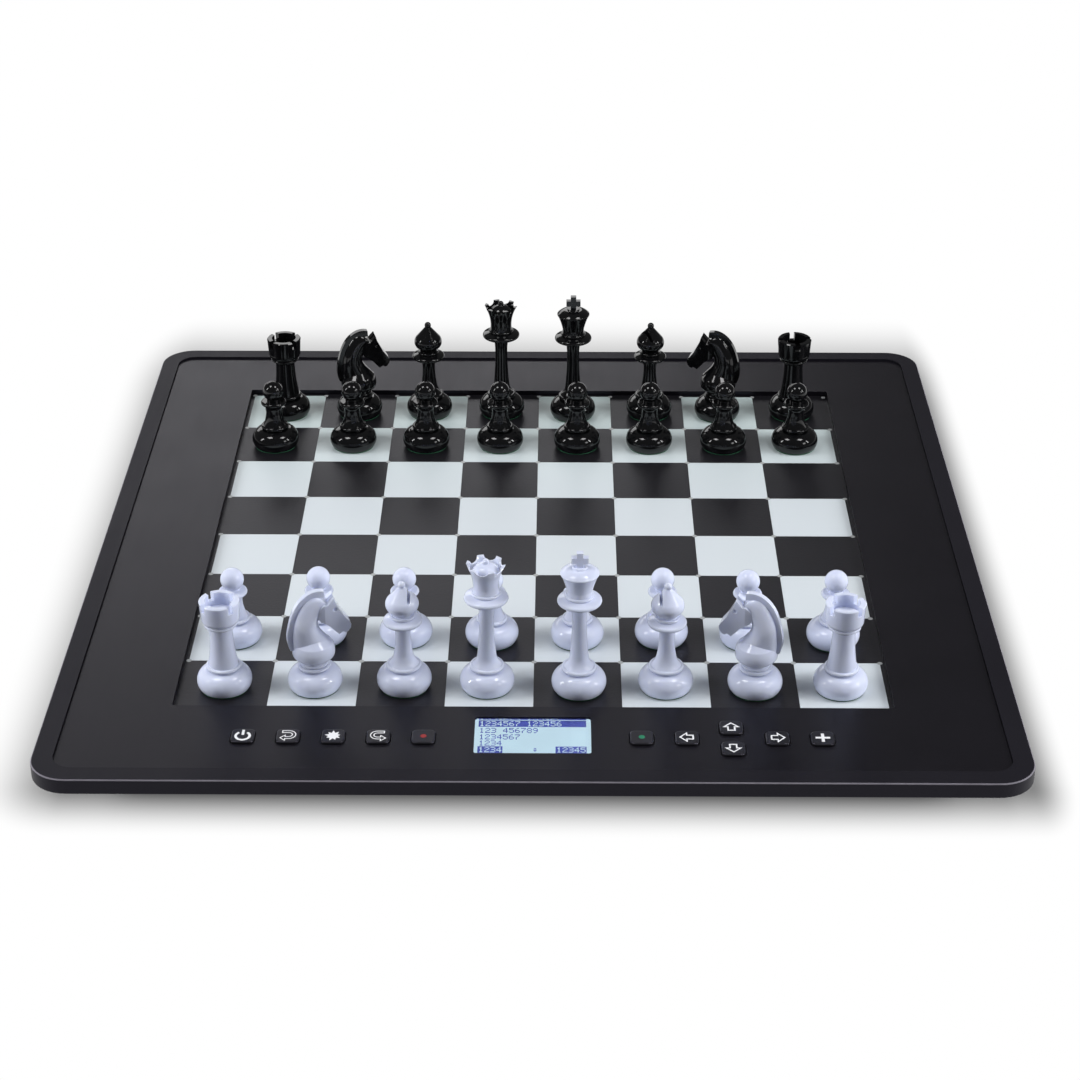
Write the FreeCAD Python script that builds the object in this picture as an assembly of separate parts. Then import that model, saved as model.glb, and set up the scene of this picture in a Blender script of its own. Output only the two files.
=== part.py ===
import FreeCAD, Part
import math
import os

Vector = FreeCAD.Vector

# All sizes are millimetres. +X is the player's right, +Y points away from the player, +Z is up.
# The origin lies on the table under the middle of the case.

# Playing field
square_size = 35.0
squares_per_side = 8
field_border = 1.7            # dark strip between the squares and the deck
field_depth = 2.4             # the field lies this far below the deck
sheet_thickness = 1.2
sheet_overlap = 4.0           # the sheet runs this far under the deck
inlay_thickness = 0.8
inlay_gap = 0.05
light_radius = 1.1            # light guide at each crossing of the grid
sensor_board_thickness = 1.2
sensor_board_margin = 1.0

# Case
side_strip = 48.3             # from the field window to the outer edge
front_strip = 52.3
back_strip = 44.3
case_corner_radius = 15.0
band_height = 6.6             # upright edge band
band_wall = 2.2
base_inset = 24.0             # the flanks slope in by this much
base_corner_radius = 12.0
flank_wall = 2.0
floor_thickness = 2.0
seam_inset = 0.4              # the lower case stands back from the band
top_edge_round = 0.8
bottom_edge_round = 0.5

# Rim and deck
rim_width = 8.2
rim_step = 0.9                # the rim stands above the deck
deck_thickness = 2.0
deck_corner_radius = 8.0
deck_gap = 0.25
deck_seat_width = 5.0
deck_seat_thickness = 2.0
collar_width = 3.0
window_corner_radius = 1.0

# Screw posts, screws and feet
post_radius = 3.5
post_clearance = 1.0
boss_wall = 2.6
boss_height = 6.0
screw_radius = 1.4
screw_fit = 0.05
screw_clearance = 0.3
screw_grip = 7.0              # thread length in the post
screw_head_radius = 2.7
screw_head_height = 1.8
screw_head_depth = 3.6        # how deep the head sits in the base
screw_slot_width = 0.8
screw_slot_depth = 0.8
back_post_spread = 60.0
foot_radius = 8.0
foot_height = 2.0
foot_sink = 0.6
foot_inset = 31.0             # from the edge of the flat base
foot_edge_round = 0.6

# Ribs that carry the sensor board
rib_thickness = 1.6
rib_end_margin = 14.0

# Keys
key_size = 9.2
key_corner_radius = 2.2
key_edge_round = 0.6
key_rise = 0.9
key_travel = 0.7
key_side_gap = 0.3
key_flange = 1.1
key_flange_thickness = 0.8
key_top_gap = 0.1
key_start = 41.9              # innermost key from the middle
key_pitch = 17.35
key_columns = 5               # on each side of the display
key_cross_offset = 7.15       # up and down keys from the row
mat_thickness = 0.8
mat_margin = 8.0
dome_radius = 3.2
dome_gap = 0.1

# Display and control board
display_width = 45.0
display_height = 24.8
display_shift = 2.4           # the display sits this far behind the key row
display_sink = 0.8
lens_flange = 2.0
lens_flange_thickness = 1.0
lens_gap = 0.1
lcd_margin = 1.5
lcd_thickness = 2.5
control_board_thickness = 1.6
control_board_depth = 33.0
control_board_overhang = 14.0
board_post_radius = 3.0
board_post_beside_display = 33.0
chip_size = 14.0
chip_height = 2.2
memory_width = 8.0
memory_depth = 12.0
buzzer_radius = 7.0
buzzer_height = 4.5
connector_width = 20.0
connector_depth = 6.0
connector_height = 5.0

# Battery bay
cell_count = 4
cell_diameter = 14.5
cell_length = 50.5
cell_nub_radius = 2.75
cell_nub_length = 1.4
cell_gap = 0.3
cell_headroom = 0.5
contact_space = 2.5
contact_plate = 0.5
contact_width = 11.0
contact_tip_radius = 2.4
contact_play = 0.05
bay_wall = 4.0
bay_ledge = 2.0               # part of the bay wall that the door closes against
bay_top_gap = 1.0
door_gap = 0.3
door_grip_radius = 7.0
door_grip_depth = 1.0

# Power inlet
inlet_x = 110.0
pocket_width = 22.0
pocket_depth = 22.0
pocket_wall = 2.0
pocket_roof = 2.4
socket_width = 11.0
socket_height = 12.0
socket_depth = 13.0
socket_nose_radius = 4.2
socket_nose_gap = 0.15
socket_bore_radius = 3.1
socket_bore_depth = 9.5
socket_pin_radius = 1.0
socket_pin_recess = 1.5

# Foot, ring, collar and bead that the turned chessmen share
man_base_radius = 10.95
man_base_undercut = 1.0
man_bulge_height = 2.8        # widest part above the felt
man_foot_height = 9.4
felt_thickness = 0.6
felt_inset = 0.3
ring_height = 1.6
ring_round = 0.7
ring_groove = 0.4             # cut under the ring
stem_step = 0.3
stem_flare = 0.7              # spread of the stem under the collar
stem_slim = 0.75              # part of the stem's length at which it is slimmest
ankle_spread = 0.9            # stem above its trumpet foot, against its slimmest part
ankle_height = 4.2
collar_thickness = 1.9
collar_round = 0.8
collar_slope = 0.5
dish_rise = 0.8               # from the collar up to the bead in it
bead_height = 1.2
bead_round = 0.4

# King
king_ring_radius = 7.0
king_stem_radius = 2.9
king_stem_length = 28.4       # from the ring to under the collar
king_collar_radius = 8.8
king_bead_radius = 5.5
king_waist_radius = 5.1
king_waist_height = 6.4       # above the underside of the collar
king_waist_lean = 0.22        # lean of the crown above its waist, in radians
king_brim_radius = 7.7
king_brim_height = 13.8
king_brim_edge = 1.2
king_cap_radius = 3.0
king_cap_height = 2.2
king_cap_swell = 0.4
king_button_height = 0.7
cross_height = 6.9
cross_width = 6.7
cross_bar = 2.6
cross_depth = 2.5
cross_arm_drop = 2.1          # from the tip down to the arms

# Queen
queen_ring_radius = 6.9
queen_stem_radius = 2.9
queen_stem_length = 28.9
queen_collar_radius = 8.8
queen_bead_radius = 5.5
queen_waist_radius = 5.0
queen_waist_height = 6.6
queen_crown_radius = 7.7
queen_crown_height = 16.4     # above the underside of the collar
crown_wall = 1.3
crown_depth = 4.0
crown_taper = 0.6
crown_points = 6
scallop_radius = 2.7
scallop_depth = 1.9
queen_dome_rise = 4.2
queen_dome_shoulder = 3.2
finial_radius = 1.3
finial_neck = 1.1
finial_rise = 2.4             # tip above the crown

# Bishop
bishop_ring_radius = 7.0
bishop_stem_radius = 3.0
bishop_stem_length = 18.0
bishop_collar_radius = 7.7
bishop_bead_radius = 4.7
bishop_waist_radius = 4.0
bishop_mitre_radius = 6.6
bishop_mitre_height = 9.1     # widest part above the underside of the collar
bishop_mitre_swell = 2.4      # rounded zone above and below the widest part
bishop_tip_height = 8.4       # from the widest part to the middle of the ball
bishop_ball_radius = 1.55
bishop_ball_neck = 1.3
bishop_slot_width = 1.1
bishop_slot_offset = 2.8
bishop_slot_rise = 2.4        # foot of the slot above the widest part

# Rook
rook_ring_radius = 7.0
rook_stem_radius = 4.5
rook_stem_length = 17.8
rook_bead_radius = 6.2
rook_turret_radius = 8.0
rook_turret_height = 10.1
rook_turret_taper = 0.5       # the wall draws in by this much on its way down
rook_turret_bowl = 2.6        # height of the rounded underside of the turret
rook_bowl_bend = 0.9
rook_turret_edge = 0.4
rook_turret_wall = 2.3
rook_well_depth = 5.5
rook_notch_width = 2.4
rook_notch_depth = 3.4
rook_notches = 4

# Pawn
pawn_ring_radius = 6.4
pawn_stem_radius = 3.7
pawn_stem_length = 9.9
pawn_collar_radius = 5.9
pawn_neck_radius = 3.1
pawn_ball_radius = 4.8
pawn_head_height = 12.0       # from under the collar to the top of the ball

# Knight
knight_ring_radius = 6.6
knight_bead_radius = 5.5
knight_waist_radius = 5.3
knight_waist_height = 3.0     # above the ring
knight_bowl_radius = 8.5
knight_bowl_height = 5.6      # widest part above the ring
knight_bowl_lip = 0.7         # rounding of the bowl's underside
knight_bowl_wall = 4.0        # from its widest part up to the ledge
knight_bowl_round = 0.9       # rounding of that wall towards the ledge
knight_bowl_top = 15.8        # where the slope of the ledge would meet the axis
mane_width = 2.4
cheek_half_width = 3.8
nose_half_width = 2.5
jaw_half_width = 3.0
jaw_wedge_back = 1.6          # where the cheek wedge starts and ends along the head
jaw_wedge_front = 4.6
nose_reach = 15.4
ear_gap = 1.5
ear_gap_depth = 3.0
eye_radius = 1.0
eye_depth = 0.85

# Turn of each man about its own axis, in degrees, as set up on the board
man_turns = {
    "a1": -4.0,
    "b1": 16.0,
    "b8": 15.0,
    "c8": 90.0,
    "d1": -12.0,
    "d8": -12.0,
    "f1": 180.0,
    "f8": 215.0,
    "g1": 164.0,
    "g8": 165.0,
    "h1": -5.0,
    "h8": -38.0,
}

# Where men stand off the middle of their squares, to the right and away from the player
man_shifts = {
    "a1": (-0.5, -1.5),
    "b1": (0.5, -1.0),
    "c1": (1.0, -0.5),
    "d1": (-1.0, -1.0),
    "e1": (0.5, -2.0),
    "f1": (0.0, -1.0),
    "g1": (0.5, -1.5),
    "h1": (-0.5, -1.5),
    "a8": (0.5, -1.5),
    "b8": (0.5, -1.0),
    "c8": (-0.5, -0.5),
    "d8": (-0.5, 0.5),
    "e8": (-1.0, -2.0),
    "f8": (1.0, -0.5),
    "g8": (-1.0, -1.5),
    "h8": (0.0, -0.5),
    "a2": (-0.4, 0.0),
    "b2": (-0.4, 1.2),
    "c2": (-0.4, 0.8),
    "f2": (-0.4, 1.2),
    "g2": (-0.8, 0.0),
    "a7": (-1.9, 0.0),
    "c7": (-0.5, 0.0),
    "d7": (-0.5, 0.0),
    "e7": (0.9, 0.0),
    "h7": (-1.2, 0.0),
}

# Plan sizes that follow
field_size = square_size * squares_per_side
window_size = field_size + 2 * field_border
case_width = window_size + 2 * side_strip
case_depth = window_size + front_strip + back_strip
field_y = (front_strip - back_strip) / 2
sheet_size = window_size + 2 * sheet_overlap
deck_width = case_width - 2 * (rim_width + deck_gap)
deck_depth = case_depth - 2 * (rim_width + deck_gap)
window_front = field_y - window_size / 2
last_key = key_start + (key_columns - 1) * key_pitch
key_row_y = window_front - (front_strip - rim_width) / 2
display_y = key_row_y + display_shift
base_width = case_width - 2 * base_inset
base_depth = case_depth - 2 * base_inset

# Heights that follow, from the table up through the battery cells to the rim
base_bottom = foot_height
floor_top = base_bottom + floor_thickness
cell_bottom = floor_top + cell_gap
sensor_board_bottom = cell_bottom + cell_diameter + cell_headroom
sheet_bottom = sensor_board_bottom + sensor_board_thickness
field_top = sheet_bottom + sheet_thickness
deck_top = field_top + field_depth
deck_bottom = deck_top - deck_thickness
rim_top = deck_top + rim_step
band_bottom = rim_top - band_height
flank_drop = band_bottom - base_bottom
boss_top = floor_top + boss_height
lens_bottom = deck_bottom - lens_flange_thickness
control_board_top = lens_bottom - lcd_thickness
control_board_bottom = control_board_top - control_board_thickness
key_flange_top = deck_bottom - key_top_gap
key_bottom = key_flange_top - key_flange_thickness

# Screw posts stand just outside the sheet, at the corners, the sides and the back
post_reach = sheet_size / 2 + post_clearance + post_radius
post_places = [
    (-post_reach, field_y - post_reach),
    (post_reach, field_y - post_reach),
    (-post_reach, field_y),
    (post_reach, field_y),
    (-post_reach, field_y + post_reach),
    (post_reach, field_y + post_reach),
    (-back_post_spread, field_y + post_reach),
    (back_post_spread, field_y + post_reach),
]

# Keys: name, column counted from the display (left of it is negative), rows up or down from the key row
key_places = [
    ("power_button", -5, 0),
    ("takeback_button", -4, 0),
    ("hint_button", -3, 0),
    ("replay_button", -2, 0),
    ("red_button", -1, 0),
    ("green_button", 1, 0),
    ("left_button", 2, 0),
    ("up_button", 3, 1),
    ("down_button", 3, -1),
    ("right_button", 4, 0),
    ("new_game_button", 5, 0),
]


def rounded_outline(width, depth, radius, z, x=0.0, y=0.0):
    w = width / 2
    d = depth / 2
    bend = radius * (1 - math.sqrt(0.5))
    points = []
    for sx, sy in ((1, -1), (1, 1), (-1, 1), (-1, -1)):
        enter = Vector(x + sx * (w - radius), y + sy * d, z)
        middle = Vector(x + sx * (w - bend), y + sy * (d - bend), z)
        leave = Vector(x + sx * w, y + sy * (d - radius), z)
        corner = (enter, middle, leave)
        points.append(corner if sx * sy < 0 else corner[::-1])
    edges = []
    for corner, following in zip(points, points[1:] + points[:1]):
        edges.append(Part.Arc(*corner).toShape())
        edges.append(Part.LineSegment(corner[2], following[0]).toShape())
    return Part.Wire(edges)


def rounded_slab(width, depth, radius, bottom, top, x=0.0, y=0.0):
    face = Part.Face(rounded_outline(width, depth, radius, bottom, x, y))
    return face.extrude(Vector(0, 0, top - bottom))


def block(width, depth, bottom, top, x=0.0, y=0.0):
    corner = Vector(x - width / 2, y - depth / 2, bottom)
    return Part.makeBox(width, depth, top - bottom, corner)


def rod(radius, bottom, top, x=0.0, y=0.0):
    return Part.makeCylinder(radius, top - bottom, Vector(x, y, bottom))


def joined(shapes):
    return shapes[0].multiFuse(shapes[1:]).removeSplitter()


def level_edges(shape, z):
    return [edge for edge in shape.Edges
            if abs(edge.BoundBox.ZMin - z) < 1e-4 and abs(edge.BoundBox.ZMax - z) < 1e-4]


def upright_plate(points, half_width):
    # Plate with its outline in the XZ plane, centred on Y
    wire = Part.makePolygon([Vector(x, -half_width, z) for x, z in points + points[:1]])
    return Part.Face(wire).extrude(Vector(0, 2 * half_width, 0))


def turned(start, steps):
    # Solid of revolution. A step of two numbers is a line to (radius, height),
    # one of four is an arc through the first pair to the second.
    here = Vector(start[0], 0, start[1])
    edges = []
    for step in steps:
        there = Vector(step[-2], 0, step[-1])
        if len(step) == 2:
            edges.append(Part.LineSegment(here, there).toShape())
        else:
            edges.append(Part.Arc(here, Vector(step[0], 0, step[1]), there).toShape())
        here = there
    edges.append(Part.LineSegment(here, Vector(start[0], 0, start[1])).toShape())
    return Part.Face(Part.Wire(edges)).revolve(Vector(0, 0, 0), Vector(0, 0, 1), 360)


def flare(wide, narrow, to_narrow, lean=0.0):
    # Hollow arc between a wide and a narrow radius, which leans out by lean radians at the narrow end
    spread = wide[0] - narrow[0]
    rise = wide[1] - narrow[1]
    slant = math.atan2(spread, abs(rise))
    hollow = math.hypot(spread, rise) / 2 * math.tan((slant - lean) / 2)
    middle_r = (wide[0] + narrow[0]) / 2 - hollow * math.cos(slant)
    middle_z = (wide[1] + narrow[1]) / 2 + math.copysign(hollow * math.sin(slant), rise)
    end = narrow if to_narrow else wide
    return (middle_r, middle_z, end[0], end[1])


# Case

def case_outline(inset, z):
    return rounded_outline(case_width - 2 * inset, case_depth - 2 * inset, case_corner_radius - inset, z)


def make_top_frame():
    ring = Part.Face(case_outline(0, band_bottom)).extrude(Vector(0, 0, band_height))
    ring = ring.makeFillet(top_edge_round, level_edges(ring, rim_top))
    ring = ring.makeFillet(bottom_edge_round, level_edges(ring, band_bottom))
    seat_bottom = deck_bottom - deck_seat_thickness
    skirt_height = seat_bottom - band_bottom
    opening = 2 * (rim_width + deck_seat_width)
    cuts = [
        rounded_slab(case_width - 2 * rim_width, case_depth - 2 * rim_width,
                     deck_corner_radius + deck_gap, deck_bottom, rim_top + 1),
        rounded_slab(case_width - opening, case_depth - opening, deck_corner_radius,
                     seat_bottom - 1, deck_bottom + 1),
        Part.Face(case_outline(band_wall, band_bottom - 1)).extrude(Vector(0, 0, skirt_height + 1)),
    ]
    return ring.cut(cuts)


def make_bottom_case():
    slope = base_inset / flank_drop
    flank_shift = flank_wall * math.hypot(1, slope)
    outer = Part.makeLoft([
        rounded_outline(base_width, base_depth, base_corner_radius, base_bottom),
        case_outline(seam_inset, band_bottom),
    ], True, True)
    floor_inset = base_inset - floor_thickness * slope + flank_shift
    hollow = Part.makeLoft([
        rounded_outline(case_width - 2 * floor_inset, case_depth - 2 * floor_inset,
                        base_corner_radius, floor_top),
        case_outline(seam_inset + flank_shift, band_bottom),
    ], True, True)

    bay_x, bay_y = bay_inside()
    socket_y = case_depth / 2 - pocket_depth
    pocket_y = socket_y + pocket_depth / 2
    added = [block(bay_x + 2 * bay_wall, bay_y + 2 * bay_wall,
                   floor_top, sensor_board_bottom - bay_top_gap, 0, field_y)]
    rib_length = sheet_size - 2 * rib_end_margin
    for side in (-1, 1):
        offset = side * 2 * square_size
        added.append(block(rib_thickness, rib_length, base_bottom, sensor_board_bottom, offset, field_y))
        added.append(block(rib_length, rib_thickness, base_bottom, sensor_board_bottom, 0, field_y + offset))
    for x, y in post_places:
        added.append(rod(post_radius + boss_wall / 2, base_bottom, boss_top, x, y))
    for x in board_post_columns():
        added.append(rod(board_post_radius, base_bottom, control_board_bottom, x, key_row_y))
    for x, y in foot_places():
        added.append(rod(foot_radius + boss_wall, base_bottom, floor_top + foot_sink, x, y))
    added.append(block(pocket_width + 2 * pocket_wall, pocket_depth + 2 * pocket_wall,
                       base_bottom, band_bottom, inlet_x, pocket_y))
    case = joined([outer.cut(hollow)] + [piece.common(outer) for piece in added])

    cuts = [
        block(bay_x, bay_y, base_bottom - 1, band_bottom + 1, 0, field_y),
        block(bay_x + 2 * bay_ledge, bay_y + 2 * bay_ledge, base_bottom - 1, floor_top, 0, field_y),
        block(pocket_width, pocket_depth * 2, floor_top, band_bottom - pocket_roof,
              inlet_x, socket_y + pocket_depth),
        Part.makeCylinder(socket_nose_radius + socket_nose_gap, 3 * pocket_wall,
                          Vector(inlet_x, socket_y - 2 * pocket_wall, socket_axis_height()), Vector(0, 1, 0)),
    ]
    for x, y in post_places:
        cuts.append(rod(screw_radius + screw_clearance, base_bottom - 1, boss_top + 1, x, y))
        cuts.append(rod(screw_head_radius + screw_clearance,
                        base_bottom - 1, base_bottom + screw_head_depth, x, y))
    for x, y in foot_places():
        cuts.append(rod(foot_radius, base_bottom - 1, base_bottom + foot_sink, x, y))
    return case.cut(cuts)


def make_deck_panel():
    deck = rounded_slab(deck_width, deck_depth, deck_corner_radius, deck_bottom, deck_top)
    collar = window_size + 2 * collar_width
    added = [deck, rounded_slab(collar, collar, window_corner_radius + collar_width,
                                field_top, deck_bottom, 0, field_y)]
    for x, y in post_places:
        added.append(rod(post_radius, boss_top, deck_bottom, x, y))
    deck = joined(added)
    cuts = [
        rounded_slab(window_size, window_size, window_corner_radius, field_top - 1, deck_top + 1, 0, field_y),
        rounded_slab(display_width, display_height, window_corner_radius,
                     deck_bottom - 1, deck_top + 1, 0, display_y),
    ]
    hole = key_size + 2 * key_side_gap
    for name, column, row in key_places:
        x, y = key_center(column, row)
        cuts.append(rounded_slab(hole, hole, key_corner_radius + key_side_gap,
                                 deck_bottom - 1, deck_top + 1, x, y))
    thread_end = boss_top + screw_grip + screw_clearance
    for x, y in post_places:
        cuts.append(rod(screw_radius + screw_fit, boss_top - 1, thread_end, x, y))
    return deck.cut(cuts)


def foot_places():
    reach_x = base_width / 2 - foot_inset
    reach_y = base_depth / 2 - foot_inset
    return [(sx * reach_x, sy * reach_y) for sx in (-1, 1) for sy in (-1, 1)]


def make_rubber_feet():
    feet = []
    for x, y in foot_places():
        foot = rod(foot_radius, 0, base_bottom + foot_sink, x, y)
        feet.append(foot.makeFillet(foot_edge_round, level_edges(foot, 0)))
    return Part.makeCompound(feet)


def make_case_screws():
    screws = []
    head_bottom = base_bottom + screw_head_depth - screw_head_height
    for x, y in post_places:
        head = rod(screw_head_radius, head_bottom, base_bottom + screw_head_depth, x, y)
        shank = rod(screw_radius, base_bottom + screw_head_depth, boss_top + screw_grip, x, y)
        slot_top = head_bottom + screw_slot_depth
        across = block(2 * screw_radius, screw_slot_width, head_bottom - 1, slot_top, x, y)
        along = block(screw_slot_width, 2 * screw_radius, head_bottom - 1, slot_top, x, y)
        screws.append(joined([head, shank]).cut([across, along]))
    return Part.makeCompound(screws)


# Playing field

def crossing(column, row):
    return (column * square_size - field_size / 2, row * square_size - field_size / 2 + field_y)


def square_center(column, row):
    x, y = crossing(column, row)
    return (x + square_size / 2, y + square_size / 2)


def all_crossings():
    count = squares_per_side + 1
    return [crossing(column, row) for column in range(count) for row in range(count)]


def light_places():
    count = squares_per_side
    return [square_center(column, row)
            for column in range(count) for row in range(count) if (column + row) % 2]


def make_field_sheet():
    sheet = block(sheet_size, sheet_size, sheet_bottom, field_top, 0, field_y)
    pocket_floor = field_top - inlay_thickness
    cuts = [block(square_size, square_size, pocket_floor, field_top + 1, x, y) for x, y in light_places()]
    cuts += [rod(light_radius, sheet_bottom - 1, field_top + 1, x, y) for x, y in all_crossings()]
    return sheet.cut(cuts)


def make_light_squares():
    size = square_size - 2 * inlay_gap
    half = square_size / 2
    bottom = field_top - inlay_thickness
    inlays = []
    for x, y in light_places():
        inlay = block(size, size, bottom, field_top, x, y)
        corners = [rod(light_radius + inlay_gap, bottom - 1, field_top + 1, x + sx * half, y + sy * half)
                   for sx in (-1, 1) for sy in (-1, 1)]
        inlays.append(inlay.cut(corners))
    return Part.makeCompound(inlays)


def make_corner_lights():
    guides = [rod(light_radius - inlay_gap, sheet_bottom, field_top, x, y) for x, y in all_crossings()]
    return Part.makeCompound(guides)


def make_sensor_board():
    size = sheet_size - 2 * sensor_board_margin
    return block(size, size, sensor_board_bottom, sheet_bottom, 0, field_y)


# Keys, display and control board

def key_center(column, row):
    reach = key_start + (abs(column) - 1) * key_pitch
    return (math.copysign(reach, column), key_row_y + row * key_cross_offset)


def make_key(column, row):
    x, y = key_center(column, row)
    top = deck_top + key_rise
    cap = rounded_slab(key_size, key_size, key_corner_radius, key_flange_top, top, x, y)
    cap = cap.makeFillet(key_edge_round, level_edges(cap, top))
    wide = key_size + 2 * key_flange
    flange = rounded_slab(wide, wide, key_corner_radius + key_flange, key_bottom, key_flange_top, x, y)
    return joined([cap, flange])


def make_key_mat():
    mats = []
    width = last_key - key_start + 2 * mat_margin
    depth = 2 * (key_cross_offset + mat_margin)
    sheet_top = control_board_top + mat_thickness
    dome_top = key_bottom - key_travel - dome_gap
    for side in (-1, 1):
        mat = block(width, depth, control_board_top, sheet_top, side * (key_start + last_key) / 2, key_row_y)
        domes = [rod(dome_radius, sheet_top, dome_top, *key_center(column, row))
                 for name, column, row in key_places if column * side > 0]
        mats.append(joined([mat] + domes))
    return Part.makeCompound(mats)


def make_lcd_window():
    flange = block(display_width + 2 * lens_flange, display_height + 2 * lens_flange,
                   lens_bottom, deck_bottom, 0, display_y)
    raised = rounded_slab(display_width - 2 * lens_gap, display_height - 2 * lens_gap,
                          window_corner_radius - lens_gap, deck_bottom, deck_top - display_sink, 0, display_y)
    return joined([flange, raised])


def make_lcd_panel():
    return block(display_width + 2 * lcd_margin, display_height + 2 * lcd_margin,
                 control_board_top, lens_bottom, 0, display_y)


def board_post_columns():
    outer = last_key + mat_margin
    return [-outer, -board_post_beside_display, board_post_beside_display, outer]


def make_control_board():
    width = 2 * (last_key + control_board_overhang)
    board = block(width, control_board_depth, control_board_bottom, control_board_top, 0, key_row_y)
    under = control_board_bottom
    middle = (key_start + last_key) / 2
    processor = block(chip_size, chip_size, under - chip_height, under, 0, key_row_y)
    memory = block(memory_width, memory_depth, under - chip_height, under, -middle, key_row_y)
    buzzer = rod(buzzer_radius, under - buzzer_height, under, middle, key_row_y)
    connector = block(connector_width, connector_depth, under - connector_height, under, 0,
                      key_row_y + control_board_depth / 2 - connector_depth)
    return Part.makeCompound([board, processor, memory, buzzer, connector])


# Battery bay and power inlet

def bay_inside():
    across = cell_count * cell_diameter + (cell_count + 1) * cell_gap
    return (across, cell_length + 2 * contact_space)


def cell_places():
    pitch = cell_diameter + cell_gap
    first = -(cell_count - 1) * pitch / 2
    return [(first + index * pitch, 1 if index % 2 else -1) for index in range(cell_count)]


def make_battery_cells():
    radius = cell_diameter / 2
    cells = []
    for x, way in cell_places():
        barrel = cell_length - cell_nub_length
        nub = [(cell_nub_radius, barrel), (cell_nub_radius, cell_length), (0, cell_length)]
        cell = turned((0, 0), [(radius, 0), (radius, barrel)] + nub)
        cell.translate(Vector(0, 0, -cell_length / 2))
        cell.rotate(Vector(0, 0, 0), Vector(1, 0, 0), 90 * way)
        cell.translate(Vector(x, field_y, cell_bottom + radius))
        cells.append(cell)
    return Part.makeCompound(cells)


def make_battery_contacts():
    bay_x, bay_y = bay_inside()
    axis = cell_bottom + cell_diameter / 2
    contacts = []
    for x, way in cell_places():
        for side in (-1, 1):
            plate_y = field_y + side * (bay_y / 2 - contact_plate / 2)
            plate = block(contact_width, contact_plate,
                          axis - contact_width / 2, axis + contact_width / 2, x, plate_y)
            tip_start = Vector(x, field_y + side * (bay_y / 2 - contact_plate), axis)
            tip_length = contact_space - contact_plate - contact_play
            tip = Part.makeCone(contact_tip_radius, contact_tip_radius / 2, tip_length,
                                tip_start, Vector(0, -side, 0))
            contacts.append(joined([plate, tip]))
    return Part.makeCompound(contacts)


def make_battery_door():
    bay_x, bay_y = bay_inside()
    width = bay_x + 2 * (bay_ledge - door_gap)
    depth = bay_y + 2 * (bay_ledge - door_gap)
    door = block(width, depth, base_bottom, floor_top, 0, field_y)
    grip_y = field_y - depth / 2 + 2 * door_grip_radius
    ball_radius = (door_grip_radius ** 2 + door_grip_depth ** 2) / (2 * door_grip_depth)
    grip = Part.makeSphere(ball_radius, Vector(0, grip_y, base_bottom + door_grip_depth - ball_radius))
    return door.cut(grip)


def socket_axis_height():
    return floor_top + socket_height / 2


def make_dc_socket():
    wall_y = case_depth / 2 - pocket_depth
    body_y = wall_y - pocket_wall - socket_depth / 2
    axis = socket_axis_height()
    out = Vector(0, 1, 0)
    body = block(socket_width, socket_depth, floor_top, floor_top + socket_height, inlet_x, body_y)
    nose_start = Vector(inlet_x, wall_y - pocket_wall, axis)
    nose = Part.makeCylinder(socket_nose_radius, pocket_wall, nose_start, out)
    bore_start = Vector(inlet_x, wall_y - socket_bore_depth, axis)
    bore = Part.makeCylinder(socket_bore_radius, socket_bore_depth + 1, bore_start, out)
    pin = Part.makeCylinder(socket_pin_radius, socket_bore_depth - socket_pin_recess, bore_start, out)
    return joined([joined([body, nose]).cut(bore), pin])


# Chessmen, each made on the origin with its felt on the height zero

ring_top = man_foot_height + ring_height


def man_foot(ring_radius):
    # Half outline of the bulged base and the ring on it, from the axis out and up
    edge = ring_radius - ring_round
    groove = edge - ring_groove
    return [
        (man_base_radius - man_base_undercut, felt_thickness),
        (man_base_radius, felt_thickness + man_bulge_height, groove, man_foot_height - ring_groove),
        (groove, man_foot_height),
        (edge, man_foot_height),
        (ring_radius, man_foot_height + ring_height / 2, edge, ring_top),
        (edge - stem_step, ring_top),
    ]


def stem_foot(ring_radius):
    return (ring_radius - ring_round - stem_step, ring_top)


def man_stem(ring_radius, stem_radius, length):
    # Trumpet foot, shaft that slims upwards and the flare under the collar
    ankle = (stem_radius + ankle_spread, ring_top + ankle_height)
    slim = (stem_radius, ring_top + stem_slim * length)
    head = (stem_radius + stem_flare, ring_top + length)
    lean = 2 * math.atan2(ankle_spread, slim[1] - ankle[1])
    foot_flare = flare(stem_foot(ring_radius), ankle, True, lean)
    return [foot_flare, flare(ankle, slim, True), flare(head, slim, False)]


def collar(radius, bottom):
    inner = radius - collar_round
    low = bottom + collar_slope
    return [(inner, low), (radius, low + collar_thickness / 2, inner, low + collar_thickness)]


def bead(radius, bottom):
    return [(radius, bottom), (radius + bead_round, bottom + bead_height / 2, radius, bottom + bead_height)]


def collar_and_bead(collar_radius, bead_radius, bottom):
    # Dished collar with a bead in it, and the step up to what stands on the bead
    steps = collar(collar_radius, bottom) + bead(bead_radius, bead_bottom(bottom))
    return steps + [(bead_radius - stem_step, bead_bottom(bottom) + bead_height)]


def bead_bottom(collar_bottom):
    return collar_bottom + collar_slope + collar_thickness + dish_rise


def ball_top(radius, top, neck_radius):
    # Ball on a neck, closing the outline on the axis
    center = top - radius
    neck = center - math.sqrt(radius ** 2 - neck_radius ** 2)
    return [(neck_radius, neck), (radius, center, 0, top)]


def make_felt():
    return rod(man_base_radius - man_base_undercut - felt_inset, 0, felt_thickness)


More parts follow.
